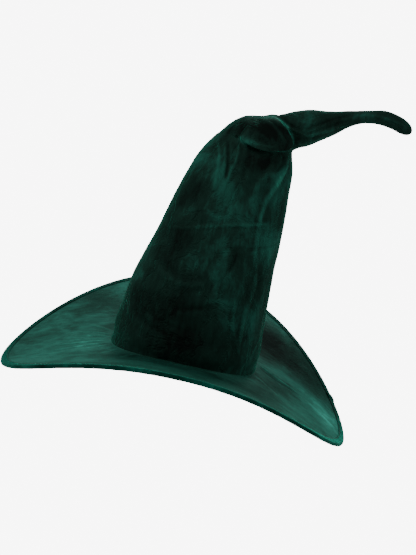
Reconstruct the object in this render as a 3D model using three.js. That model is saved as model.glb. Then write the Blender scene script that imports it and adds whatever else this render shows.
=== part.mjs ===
// A witch's hat: a tall soft velvet cone that folds over at the top, on a wide wired brim.
// Millimetres. +Z is up the wearer's head and +X is the back of the hat, where the tip falls.
// The origin is the middle of the head opening.
import * as THREE from "three";

// ---- Cloth and wire -----------------------------------------------------------------------------
const GAP = 0.3; // kept between pieces that touch
const VELVET = 1.2; // pile and backing
const BRIM_VELVET = 1.0;
const INTERLINING = 0.8; // stiff non-woven layer inside the crown
const BRIM_INTERLINING = 1.0;
const SATIN = 0.4;
const SWEATBAND = 1.4;
const TIP_WIRE_RADIUS = 0.8;
const WIRE_HOLE_RADIUS = 1.3; // left through the stuffing
const CAP_RADIUS = 1.6; // of the cap on the tip wire's end
const BRIM_WIRE_RADIUS = 0.8;

// ---- Crown: sections from the bottom edge to the fold, front and back points as [x, z] -----------
const CROWN_SECTIONS = [
  { front: [-102, -10], back: [102, -10], halfDepth: 88 },
  { front: [-98, 40], back: [102, 44], halfDepth: 87 },
  { front: [-91, 84], back: [99.5, 95], halfDepth: 82 },
  { front: [-80, 128], back: [98, 146], halfDepth: 75 },
  { front: [-64, 177], back: [96, 200], halfDepth: 67 },
  { front: [-54, 220], back: [93.5, 236], halfDepth: 60 },
  { front: [-40, 256], back: [91.5, 262], halfDepth: 52 },
  { front: [-22, 294], back: [90, 280], halfDepth: 45 },
  { front: [3, 322], back: [89.5, 286], halfDepth: 38 },
  { front: [40, 333], back: [88, 291], halfDepth: 26 },
];
const LAST_SECTION = CROWN_SECTIONS.length - 1;
const INTERLINING_TOP = 4 / LAST_SECTION; // as a share of the way through the sections
const LINING_TOP = 3.85 / LAST_SECTION;
const SWEATBAND_SPAN = [0.03 / LAST_SECTION, 0.6 / LAST_SECTION];
const BASE_LIFT = 6.5; // the base rises by twice this at the sides of the head
const BASE_LIFT_HEIGHT = 80; // and the rise has died out this far up the crown

// ---- Brim: bent down at the front and back, up at the sides --------------------------------------
const BRIM_HALF_LENGTH = 241;
const BRIM_HALF_WIDTH = 236;
const BRIM_SIDE_HEIGHT = 39.5;
const BRIM_DROOP = 105;
const BRIM_EXTRA_BACK_DROOP = 5;
const BRIM_DROOP_POWER = 2.1;
const BRIM_RISE_POWER = 1.2; // above 1, the brim curves more towards its edge
const BRIM_INNER_GAP = 0.5; // between the crown's wall and the brim's layers
const BRIM_SEAM_HEIGHT = 3; // of the brim's middle above the crown's bottom edge
const BRIM_EDGE_SETBACK = 2.2; // the layers stop this far inside the wire
const BINDING_WIDTH = 10;
const BINDING_FREE_EDGE = 0.5; // the binding's two edges stand off the velvet by this much more
const WIRE_JOINT_FACET = 17; // the facet of the brim's edge where the wire's ends meet
const WIRE_END_GAP = 0.02; // as a share of one facet

// ---- Tip: two wired stretches, each turning on a ball in the hollow end of the one before --------
const BALL_CLEARANCE = 0.4;
const TIP_DEPTH = 0.85; // the tip's depth in Y over its height
const TIP_SECTIONS = [
  { at: [82, 324], radius: 23 },
  { at: [103, 331.5], radius: 22 },
  { at: [125, 342], radius: 17 },
  { at: [142, 351.5], radius: 12.5 },
  { at: [156.2, 358], radius: 9.5 },
];
const TIP_END_SECTIONS = [
  { at: [163, 360.4], radius: 8 },
  { at: [176, 363.8], radius: 8.8 },
  { at: [191, 365], radius: 9.6 },
  { at: [206, 362.8], radius: 9.6 },
  { at: [219, 358.5], radius: 7.5 },
  { at: [228, 354.8], radius: 4.2 },
];
const CROWN_WIRE_ROUTE = [[88.5, 208], [88, 234], [75, 259], [58, 280], [56, 292], [64.7, 304.2]];
const WIRE_CLEAR_OF_PIVOT = 3; // each stretch of the wire starts this far past its pivot

// ---- Facets -------------------------------------------------------------------------------------
const AROUND = 40; // crown and brim
const TIP_AROUND = 20;
const WIRE_AROUND = 8;
const CROWN_STEPS = 15;
const TIP_STEPS = 7;
const BRIM_STEPS = 4;

const upright = (x, z) => new THREE.Vector3(x, 0, z); // a point in the hat's middle plane
const angle = (i, count) => (2 * Math.PI * i) / count;
const range = (count) => Array.from({ length: count }, (_, i) => i);
const steps = (from, to, count) => range(count + 1).map((i) => from + ((to - from) * i) / count);

// ---- Solids from rings --------------------------------------------------------------------------
const ENDS = { CAPPED: "capped", JOINED: "joined" };

function signedVolume(points, faces) {
  const [a, b, c] = [0, 1, 2].map(() => new THREE.Vector3());
  let sum = 0;
  for (let i = 0; i < faces.length; i += 3) {
    [a, b, c].forEach((corner, j) => corner.copy(points[faces[i + j]]));
    sum += a.dot(b.cross(c)) / 6;
  }
  return sum;
}

// A run of rings in the order given, and one in the opposite order. Their squares are split along
// the same diagonal, so that layers with equal facets lie parallel.
const forward = (rings) => rings.map((ring) => ({ ring, backward: false }));
const backward = (rings) => rings.map((ring) => ({ ring, backward: true })).reverse();

// Rings of equally many points, each joined to the next. The first and last are capped, or joined.
function ringSolid(run, ends) {
  const rings = run.map(({ ring }) => ring);
  const count = rings[0].length;
  const points = rings.flat();
  const faces = [];
  const bands = ends === ENDS.JOINED ? rings.length : rings.length - 1;
  for (let band = 0; band < bands; band++) {
    const near = band * count;
    const far = ((band + 1) % rings.length) * count;
    for (let i = 0; i < count; i++) {
      const next = (i + 1) % count;
      const [a, b, c, d] = [near + i, near + next, far + next, far + i];
      faces.push(...(run[band].backward ? [a, b, d, b, c, d] : [a, b, c, a, c, d]));
    }
  }
  if (ends === ENDS.CAPPED) {
    const cap = (ring, start, turned) => {
      const middle = points.push(ringMiddle(ring)) - 1;
      range(count).forEach((i) => {
        const side = [start + i, start + ((i + 1) % count)];
        faces.push(middle, ...(turned ? side.reverse() : side));
      });
    };
    cap(rings[0], 0, true);
    cap(rings[rings.length - 1], (rings.length - 1) * count, false);
  }
  if (signedVolume(points, faces) < 0) faces.reverse();
  const geometry = new THREE.BufferGeometry().setFromPoints(points).setIndex(faces);
  geometry.computeVertexNormals();
  return geometry;
}

const ringMiddle = (ring) =>
  ring.reduce((sum, p) => sum.add(p), new THREE.Vector3()).divideScalar(ring.length);

// An oval ring about a middle, from the half axis towards angle 0 and the one towards 90 degrees.
const ovalRing = (middle, along, across, count) =>
  range(count).map((i) =>
    middle
      .clone()
      .addScaledVector(along, Math.cos(angle(i, count)))
      .addScaledVector(across, Math.sin(angle(i, count))),
  );

// ---- Crown --------------------------------------------------------------------------------------
const sectionCurve = (side) =>
  new THREE.CatmullRomCurve3(
    CROWN_SECTIONS.map((s) => new THREE.Vector3(s[side][0], s.halfDepth, s[side][1])),
    false,
    "catmullrom",
  );
const frontCurve = sectionCurve("front");
const backCurve = sectionCurve("back");

// The crown's ring a share of the way up, moved in from its outside by inset.
function crownRing(share, inset) {
  const front = frontCurve.getPoint(share);
  const back = backCurve.getPoint(share);
  const halfDepth = front.y;
  front.y = back.y = 0;
  const middle = front.clone().add(back).multiplyScalar(0.5);
  const along = front.clone().sub(middle);
  along.setLength(along.length() - inset);
  const ring = ovalRing(middle, along, new THREE.Vector3(0, halfDepth - inset, 0), AROUND);
  ring.forEach((p, i) => {
    const fade = Math.max(0, 1 - (p.z - CROWN_SECTIONS[0].front[1]) / BASE_LIFT_HEIGHT);
    p.z += BASE_LIFT * (1 - Math.cos(2 * angle(i, AROUND))) * fade ** 2;
  });
  return ring;
}

const crownRings = (from, to, inset, count) => steps(from, to, count).map((s) => crownRing(s, inset));

// A layer of the crown between two shares of its height, open at both ends.
const crownLayer = ([from, to], inset, thickness, count) =>
  ringSolid(
    [
      ...forward(crownRings(from, to, inset, count)),
      ...backward(crownRings(from, to, inset + thickness, count)),
    ],
    ENDS.JOINED,
  );

// ---- Balls and the hollow ends that they turn in ------------------------------------------------
// A ring on a ball, at an angle from the ball's axis.
function ballRing(centre, axis, radius, fromAxis, count) {
  const side = new THREE.Vector3(0, 1, 0).cross(axis).normalize();
  return ovalRing(
    centre.clone().addScaledVector(axis, radius * Math.cos(fromAxis)),
    side.multiplyScalar(-radius * Math.sin(fromAxis)),
    new THREE.Vector3(0, TIP_DEPTH * radius * Math.sin(fromAxis), 0),
    count,
  );
}

// The rings of a hollow end, from its rim to its middle. The rim lies in a plane square to the
// direction of the stretch, that far short of the pivot.
function hollowRings(pivot, direction, radius, planeDistance, count) {
  const rim = Math.acos(planeDistance / radius);
  return [1, 0.6, 0.2].map((share) =>
    ballRing(pivot, direction, radius, Math.PI - rim * share, count),
  );
}

function crownVelvet() {
  const pivot = upright(...TIP_SECTIONS[0].at);
  const last = CROWN_SECTIONS[LAST_SECTION];
  const across = upright(...last.back).sub(upright(...last.front)).normalize();
  const direction = new THREE.Vector3(-across.z, 0, across.x); // out of the crown's end
  const planeDistance = pivot.clone().sub(upright(...last.back)).dot(direction);
  const radius = TIP_SECTIONS[0].radius + BALL_CLEARANCE;
  const outside = [
    ...crownRings(0, 1, 0, CROWN_STEPS),
    ...hollowRings(pivot, direction, radius, planeDistance, AROUND),
  ];
  const lastInside = crownRing(1, VELVET);
  lastInside.forEach((p) => p.addScaledVector(direction, -VELVET));
  const inside = [
    ...crownRings(0, 1, VELVET, CROWN_STEPS).slice(0, -1),
    lastInside,
    ...hollowRings(pivot, direction, radius + VELVET, planeDistance + VELVET, AROUND),
  ];
  return ringSolid([...backward(inside), ...forward(outside)], ENDS.CAPPED);
}

function crownLining() {
  const inset = VELVET + GAP + INTERLINING + GAP;
  const roof = LINING_TOP - 0.02 / LAST_SECTION; // the inside of the flat top
  const inside = crownRings(0, roof, inset + SATIN, 8);
  const outside = crownRings(0, LINING_TOP, inset, 8);
  return ringSolid([...backward(inside), ...forward(outside)], ENDS.CAPPED);
}

// ---- Brim ---------------------------------------------------------------------------------------
const brimInner = crownRing(0, 0).map((p, i) => {
  const outwards = new THREE.Vector3(-Math.cos(angle(i, AROUND)), Math.sin(angle(i, AROUND)), 0);
  p.addScaledVector(outwards, BRIM_INNER_GAP);
  p.z += BRIM_SEAM_HEIGHT;
  return p;
});

const brimOuter = range(AROUND).map((i) => {
  const [c, s] = [Math.cos(angle(i, AROUND)), Math.sin(angle(i, AROUND))];
  const droop = (BRIM_DROOP - BRIM_EXTRA_BACK_DROOP * c) * Math.abs(c) ** BRIM_DROOP_POWER;
  return new THREE.Vector3(-BRIM_HALF_LENGTH * c, BRIM_HALF_WIDTH * s, BRIM_SIDE_HEIGHT - droop);
});

// A point of the brim's middle surface, from share 0 at the crown to 1 at the edge.
function brimPoint(i, share) {
  const p = brimInner[i].clone().lerp(brimOuter[i], share);
  const rise = brimOuter[i].z - brimInner[i].z;
  p.z = brimInner[i].z + rise * share ** BRIM_RISE_POWER;
  return p;
}

// The edge at a facet number, which may lie between two: its point and the way outwards.
function brimEdge(facet) {
  const i = Math.floor(facet) % AROUND;
  const next = (i + 1) % AROUND;
  const outwards = (k) => brimPoint(k, 1).sub(brimPoint(k, 1 - 1 / BRIM_STEPS)).normalize();
  const share = facet - Math.floor(facet);
  return {
    point: brimPoint(i, 1).lerp(brimPoint(next, 1), share),
    outwards: outwards(i).lerp(outwards(next), share).normalize(),
  };
}

// One layer of the brim, its lower and upper faces at heights above the middle surface.
function brimLayer(low, high) {
  const sheet = (height) =>
    steps(0, 1, BRIM_STEPS).map((share) =>
      range(AROUND).map((i) => {
        const p = brimPoint(i, share);
        if (share === 1) p.addScaledVector(brimEdge(i).outwards, -BRIM_EDGE_SETBACK);
        p.z += height;
        return p;
      }),
    );
  return ringSolid([...forward(sheet(low)), ...backward(sheet(high))], ENDS.JOINED);
}

// A point beside the brim's edge at a facet number: so far outwards, and so far up.
function besideEdge(facet, [out, up]) {
  const { point, outwards } = brimEdge(facet);
  point.addScaledVector(outwards, out).z += up;
  return point;
}

function brimBinding() {
  const inside = BRIM_INTERLINING / 2 + GAP + BRIM_VELVET + GAP;
  const outside = inside + 0.9;
  const outerFace = [
    [-BINDING_WIDTH, outside + BINDING_FREE_EDGE],
    [1, outside + 0.2],
    [3.4, 2],
  ];
  const innerFace = [
    [-BINDING_WIDTH, inside + BINDING_FREE_EDGE],
    [0.8, inside],
    [2.4, 1.5],
  ];
  const under = (profile) => profile.map(([out, up]) => [out, -up]);
  const rings = (profile) => profile.map((place) => range(AROUND).map((i) => besideEdge(i, place)));
  return ringSolid(
    [
      ...forward(rings(outerFace)),
      ...backward(rings(under(outerFace))),
      ...forward(rings(under(innerFace))),
      ...backward(rings(innerFace)),
    ],
    ENDS.JOINED,
  );
}

function brimWire() {
  const start = WIRE_JOINT_FACET + 0.5 + WIRE_END_GAP;
  const end = WIRE_JOINT_FACET + 0.5 - WIRE_END_GAP + AROUND;
  const corners = range(AROUND).map((i) => WIRE_JOINT_FACET + 1 + i);
  const round = range(WIRE_AROUND).map((i) => [
    0.4 + BRIM_WIRE_RADIUS * Math.cos(angle(i, WIRE_AROUND)),
    BRIM_WIRE_RADIUS * Math.sin(angle(i, WIRE_AROUND)),
  ]);
  const rings = [start, ...corners, end].map((facet) => round.map((place) => besideEdge(facet, place)));
  return ringSolid(forward(rings), ENDS.CAPPED);
}

// ---- Sleeves, made upright on the Y axis ---------------------------------------------------------
const latheSolid = (profile, around) =>
  new THREE.LatheGeometry(profile.map(([r, y]) => new THREE.Vector2(r, y)), around);

function ferrule() {
  const [inner, outer, half] = [BRIM_WIRE_RADIUS + GAP, BRIM_WIRE_RADIUS + 0.75, 7];
  const profile = [[inner, -half], [outer, -half], [outer, half], [inner, half], [inner, -half]];
  return latheSolid(profile, 16);
}

function wireEndCap() {
  const [inner, outer, length, end] = [TIP_WIRE_RADIUS + GAP, CAP_RADIUS, 8, 0.8];
  const profile = [
    [0, length - end],
    [inner, length - end],
    [inner, 0],
    [outer, 0],
    [outer, length],
    [0, length],
  ];
  return latheSolid(profile, 12);
}

// ---- Tip ----------------------------------------------------------------------------------------
const tipCurve = (sections) =>
  new THREE.CatmullRomCurve3(sections.map((s) => new THREE.Vector3(s.at[0], s.radius, s.at[1])));
const curves = { tip: tipCurve(TIP_SECTIONS), end: tipCurve(TIP_END_SECTIONS) };

// The middle of a tip stretch a share of the way along, with its radius and its direction.
function tipPlace(curve, share) {
  const at = curve.getPoint(share);
  const direction = curve.getTangent(share);
  const radius = at.y;
  at.y = direction.y = 0;
  return { at, radius, direction: direction.normalize() };
}

// Rings round a tip stretch, moved in by inset; a fixed radius makes the hole for the wire.
const tipRings = (curve, from, to, inset, fixedRadius) =>
  steps(from, to, TIP_STEPS).map((share) => {
    const { at, radius, direction } = tipPlace(curve, share);
    return ballRing(at, direction, fixedRadius ?? radius - inset, Math.PI / 2, TIP_AROUND);
  });

// The ball at the root of a stretch, from the edge of the hole in it towards its widest ring.
function rootRings(curve, inset, holeRadius) {
  const { at, radius, direction } = tipPlace(curve, 0);
  const ballRadius = radius - inset;
  const hole = Math.asin(holeRadius / ballRadius);
  return steps(hole, Math.PI / 2, 4)
    .slice(0, -1)
    .map((a) => ballRing(at, direction, ballRadius, Math.PI - a, TIP_AROUND));
}

const endPivot = upright(...TIP_END_SECTIONS[0].at);
const tipEndPlane = tipPlace(curves.tip, 1);
const tipHollowDistance = endPivot.clone().sub(tipEndPlane.at).dot(tipEndPlane.direction);
const tipHollowRadius = TIP_END_SECTIONS[0].radius + BALL_CLEARANCE;
const ROOT_HOLE_RADIUS = 5;
const END_ROOT_HOLE_RADIUS = 2.6;
const tipHollow = (inset) =>
  hollowRings(
    endPivot,
    tipEndPlane.direction,
    tipHollowRadius + inset,
    tipHollowDistance + inset,
    TIP_AROUND,
  );

function tipVelvet() {
  const inside = [
    ...rootRings(curves.tip, VELVET, ROOT_HOLE_RADIUS),
    ...tipRings(curves.tip, 0, 0.96, VELVET),
    ...tipHollow(VELVET),
  ];
  const outside = [
    ...rootRings(curves.tip, 0, ROOT_HOLE_RADIUS),
    ...tipRings(curves.tip, 0, 1, 0),
    ...tipHollow(0),
  ];
  return ringSolid([...backward(inside), ...forward(outside)], ENDS.CAPPED);
}

function tipStuffing() {
  const inset = VELVET + GAP;
  const outside = [
    ...rootRings(curves.tip, inset, WIRE_HOLE_RADIUS),
    ...tipRings(curves.tip, 0, 0.86, inset),
  ];
  const hole = tipRings(curves.tip, 0, 0.86, 0, WIRE_HOLE_RADIUS);
  return ringSolid([...forward(outside), ...backward(hole)], ENDS.JOINED);
}

function tipEndVelvet() {
  const inside = [
    ...rootRings(curves.end, VELVET, END_ROOT_HOLE_RADIUS),
    ...tipRings(curves.end, 0, 0.97, VELVET),
  ];
  const outside = [
    ...rootRings(curves.end, 0, END_ROOT_HOLE_RADIUS),
    ...tipRings(curves.end, 0, 1, 0),
  ];
  return ringSolid([...backward(inside), ...forward(outside)], ENDS.CAPPED);
}

function tipEndStuffing() {
  const inset = VELVET + GAP;
  const hole = CAP_RADIUS + 2 * GAP;
  const outside = [
    ...rootRings(curves.end, inset, hole),
    ...tipRings(curves.end, 0, 0.93, inset),
  ];
  const pocket = tipRings(curves.end, 0, 0.75, 0, hole);
  return ringSolid([...backward(outside), ...forward(pocket)], ENDS.CAPPED);
}

// ---- Wire through the crown and the tip ---------------------------------------------------------
const wireSection = new THREE.Shape(
  range(WIRE_AROUND).map((i) => {
    const a = angle(i, WIRE_AROUND);
    return new THREE.Vector2(TIP_WIRE_RADIUS * Math.cos(a), TIP_WIRE_RADIUS * Math.sin(a));
  }),
);

function wireAlong(points) {
  const path = new THREE.CatmullRomCurve3(points);
  const count = Math.round(path.getLength() / 7);
  return new THREE.ExtrudeGeometry(wireSection, {
    steps: count,
    bevelEnabled: false,
    extrudePath: path,
  });
}

const crownWire = () => wireAlong(CROWN_WIRE_ROUTE.map((p) => upright(...p)));

function stretchWire(curve, to) {
  const start = WIRE_CLEAR_OF_PIVOT / curve.getLength();
  return wireAlong(steps(start, to, 5).map((share) => tipPlace(curve, share).at));
}

// ---- Materials ----------------------------------------------------------------------------------
const cloth = (color) => new THREE.MeshStandardMaterial({ color, roughness: 0.9, metalness: 0 });
const metal = (color) => new THREE.MeshStandardMaterial({ color, roughness: 0.4, metalness: 1 });
const crownGreen = cloth(0x0b3228);
const brimGreen = cloth(0x114a3a);
const bindingGreen = cloth(0x072019);
const satinBlack = new THREE.MeshStandardMaterial({ color: 0x151715, roughness: 0.4 });
const ribbonBlack = cloth(0x101211);
const stiffWhite = cloth(0xd9d6cc);
const fibreWhite = cloth(0xf0efea);
const labelWhite = cloth(0xe6e4dc);
const steel = metal(0x9a9c9d);
const capPlastic = new THREE.MeshStandardMaterial({ color: 0x222222, roughness: 0.6 });

// ---- Assembly -----------------------------------------------------------------------------------
const hat = new THREE.Group();

function piece(name, geometry, material, parent = hat) {
  const mesh = new THREE.Mesh(geometry, material);
  mesh.name = name;
  parent.add(mesh);
  return mesh;
}

const coreHalf = BRIM_INTERLINING / 2;
piece("brim_under_velvet", brimLayer(-coreHalf - GAP - BRIM_VELVET, -coreHalf - GAP), brimGreen);
piece("brim_interlining", brimLayer(-coreHalf, coreHalf), stiffWhite);
piece("brim_top_velvet", brimLayer(coreHalf + GAP, coreHalf + GAP + BRIM_VELVET), brimGreen);
piece("brim_binding", brimBinding(), bindingGreen);
piece("brim_wire", brimWire(), steel);

const joint = brimEdge(WIRE_JOINT_FACET + 0.5);
const alongWire = brimEdge(WIRE_JOINT_FACET + 1).point.sub(brimEdge(WIRE_JOINT_FACET).point);
const wireFerrule = piece("brim_wire_ferrule", ferrule(), steel);
wireFerrule.position.copy(joint.point).addScaledVector(joint.outwards, 0.4);
wireFerrule.quaternion.setFromUnitVectors(new THREE.Vector3(0, 1, 0), alongWire.normalize());

piece("crown_velvet", crownVelvet(), crownGreen);
const interliningInset = VELVET + GAP;
piece(
  "crown_interlining",
  crownLayer([0, INTERLINING_TOP], interliningInset, INTERLINING, 8),
  stiffWhite,
);
piece("crown_lining", crownLining(), satinBlack);
const bandInset = interliningInset + INTERLINING + GAP + SATIN + GAP;
piece("sweatband", crownLayer(SWEATBAND_SPAN, bandInset, SWEATBAND, 2), ribbonBlack);

const label = piece("care_label", new THREE.BoxGeometry(0.5, 22, 30), labelWhite);
label.position.set(CROWN_SECTIONS[1].back[0] - bandInset - 2.2, 0, 42);

const anchor = piece("tip_wire_anchor", new THREE.BoxGeometry(1, 16, 26), ribbonBlack);
anchor.position.set(CROWN_WIRE_ROUTE[0][0] - 3.5, 0, CROWN_WIRE_ROUTE[0][1] + 12);
piece("crown_wire", crownWire(), steel);

piece("tip_velvet", tipVelvet(), crownGreen);
piece("tip_stuffing", tipStuffing(), fibreWhite);
piece("tip_wire", stretchWire(curves.tip, 0.85), steel);

piece("tip_end_velvet", tipEndVelvet(), crownGreen);
piece("tip_end_stuffing", tipEndStuffing(), fibreWhite);
piece("tip_end_wire", stretchWire(curves.end, 0.7), steel);
const wireTip = tipPlace(curves.end, 0.7);
const cap = piece("wire_end_cap", wireEndCap(), capPlastic);
cap.position.copy(wireTip.at).addScaledVector(wireTip.direction, -6);
cap.quaternion.setFromUnitVectors(new THREE.Vector3(0, 1, 0), wireTip.direction);

export default hat;
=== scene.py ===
# %% [markdown]
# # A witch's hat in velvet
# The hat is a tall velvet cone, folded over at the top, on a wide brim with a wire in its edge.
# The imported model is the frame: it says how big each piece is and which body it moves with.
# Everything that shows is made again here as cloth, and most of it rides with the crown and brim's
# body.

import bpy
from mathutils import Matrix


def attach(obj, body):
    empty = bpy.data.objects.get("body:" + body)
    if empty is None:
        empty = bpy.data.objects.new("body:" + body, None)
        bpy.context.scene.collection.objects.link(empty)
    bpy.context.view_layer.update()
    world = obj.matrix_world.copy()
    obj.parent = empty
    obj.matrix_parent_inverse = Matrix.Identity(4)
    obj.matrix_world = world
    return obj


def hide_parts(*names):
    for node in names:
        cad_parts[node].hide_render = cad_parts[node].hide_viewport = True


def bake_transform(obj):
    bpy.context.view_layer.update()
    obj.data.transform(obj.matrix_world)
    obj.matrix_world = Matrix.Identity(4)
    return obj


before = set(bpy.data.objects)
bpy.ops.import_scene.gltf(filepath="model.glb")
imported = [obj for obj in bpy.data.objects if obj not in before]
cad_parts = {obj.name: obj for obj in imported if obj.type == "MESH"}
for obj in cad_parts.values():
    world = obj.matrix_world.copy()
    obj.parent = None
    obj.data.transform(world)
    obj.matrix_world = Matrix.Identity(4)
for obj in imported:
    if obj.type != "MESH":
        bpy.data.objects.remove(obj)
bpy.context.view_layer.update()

# %% Tools for the whole script
import math

import bmesh
import bpy
import numpy as np
from mathutils import Matrix, Vector, noise

MM = 0.001


def in_metres(points):
    """Points given in millimetres, in metres."""
    return np.asarray(points, float) * MM


print("one millimetre is", MM, "metres")

# %% [markdown]
# ## Camera
# A hat like this is shown on white, from the side and a little above, through a long lens that
# keeps its lines straight. The hat was put down tilted, so the camera is rolled rather than the
# hat: the frame's up stays up the wearer's head.

# %% Place the camera
VIEW_HEIGHT = math.radians(14.93)
VIEW_ROLL = math.radians(12.57)
VIEW_DISTANCE = 1.935
VIEW_WIDTH = 0.5733  # how wide a view the camera takes in at the hat
TALLER = 555 / 416  # the view's height over its width
SENSOR = 36.0

back = Vector((0, -math.cos(VIEW_HEIGHT), math.sin(VIEW_HEIGHT)))
level = Vector((1, 0, 0))
above = back.cross(level)
across_view = math.cos(VIEW_ROLL) * level + math.sin(VIEW_ROLL) * above
up_view = back.cross(across_view)
middle = Vector((0.0113, 0.0268, 0.1004))  # what the camera looks at

camera_data = bpy.data.cameras.new("camera")
camera_data.sensor_width = SENSOR  # spans the view's longer side, its height
camera_data.lens = SENSOR * VIEW_DISTANCE / (VIEW_WIDTH * TALLER)
camera = bpy.data.objects.new("camera", camera_data)
turn = Matrix((across_view, up_view, back)).transposed()
camera.matrix_world = Matrix.Translation(middle + back * VIEW_DISTANCE) @ turn.to_4x4()
bpy.context.scene.collection.objects.link(camera)
bpy.context.scene.camera = camera
print("lens in millimetres:", round(camera_data.lens, 1))

# %% [markdown]
# ## Node helpers
# A material is a small graph of nodes. One function adds a node, sets its values and links its
# inputs, so that each finish below reads as a list of what it is made of. Colours are given as
# the hex values that a paint chart would use, which one function turns to linear light.


# %% Colour and node helpers
def linear(hex_colour, alpha=1.0):
    """A hex sRGB colour as the linear values that the shader takes."""
    values = []
    for at in (1, 3, 5):
        c = int(hex_colour[at : at + 2], 16) / 255
        values.append(c / 12.92 if c <= 0.04045 else ((c + 0.055) / 1.055) ** 2.4)
    return (*values, alpha)


def add(tree, kind, inputs=None, **settings):
    """Adds a node: settings are its own, and inputs are values or another node's output."""
    node = tree.nodes.new(kind)
    for key, value in settings.items():
        setattr(node, key, value)
    for key, value in (inputs or {}).items():
        if isinstance(value, bpy.types.NodeSocket):
            tree.links.new(value, node.inputs[key])
        else:
            node.inputs[key].default_value = value
    return node


def new_material(name):
    """A material with an empty graph, and its surface output."""
    made = bpy.data.materials.new(name)
    made.use_nodes = True
    made.node_tree.nodes.clear()
    return made, made.node_tree


def finish_material(made, shader):
    """Links a shader to the material's surface."""
    out = add(made.node_tree, "ShaderNodeOutputMaterial")
    made.node_tree.links.new(shader.outputs[0], out.inputs["Surface"])
    return made


def ramp(tree, factor, stops):
    """A colour ramp with (position, hex colour) stops."""
    node = add(tree, "ShaderNodeValToRGB", {"Fac": factor})
    points = node.color_ramp.elements
    while len(points) < len(stops):
        points.new(0.5)
    for point, (position, colour) in zip(points, stops):
        point.position, point.color = position, linear(colour)
    return node


def per_metre(size_mm):
    """The texture scale whose pattern repeats at this size in millimetres."""
    return 1000.0 / size_mm


def grainy_finish(name, size_mm, grain, stops, surface, relief=None):
    """A finish from one noise: its grain's own values, its colours, its surface and its relief."""
    made, tree = new_material(name)
    place = add(tree, "ShaderNodeTexCoord").outputs["Object"]
    noise_values = {"Vector": place, "Scale": per_metre(size_mm)} | grain
    texture = add(tree, "ShaderNodeTexNoise", noise_values)
    colour = ramp(tree, texture.outputs["Fac"], stops)
    values = {"Base Color": colour.outputs["Color"]} | surface
    if relief:
        bump = add(tree, "ShaderNodeBump", {"Strength": relief[0], "Distance": relief[1],
                                            "Height": texture.outputs["Fac"]})
        values["Normal"] = bump.outputs["Normal"]
    return finish_material(made, add(tree, "ShaderNodeBsdfPrincipled", values))


print("crown green in linear light:", [round(v, 4) for v in linear("#0e4234")[:3]])

# %% [markdown]
# ## Velvet
# Crushed velvet is a knitted backing with a short dense pile, pressed flat in patches that lean
# different ways. A patch that leans towards the light is bright and its neighbour is nearly
# black. The pile also catches light at the edges of a shape, which is what the sheen lobe is for.
# How the pile leans is kept on each piece as an attribute, 0 away from the light and 1 towards
# it. The same attribute also carries painted light: painted shade in creases and painted
# highlights on ridges, painted shadow and painted highlights in listed patches, and a painted
# highlight along the lap's edge. Noise adds smaller patches and the streaks that a brush leaves.
# Bumps give the pile's grain and thin creases where the cloth was pressed, which part it into
# facets.
# Real pile stands about 0.3 mm apart: it is drawn coarser, so it shows.

# %% Make the velvets
PATCH_MM = 40
STREAK_MM = 7
GRAIN_MM = 1.3
FACET_MM = 34
CREASE_BEND = 0.05
STREAK_SHARE = 0.45  # how much of the marks are streaks rather than patches
MARK_STRENGTH, MARK_MIDDLE = 1.1, 0.55


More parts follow.
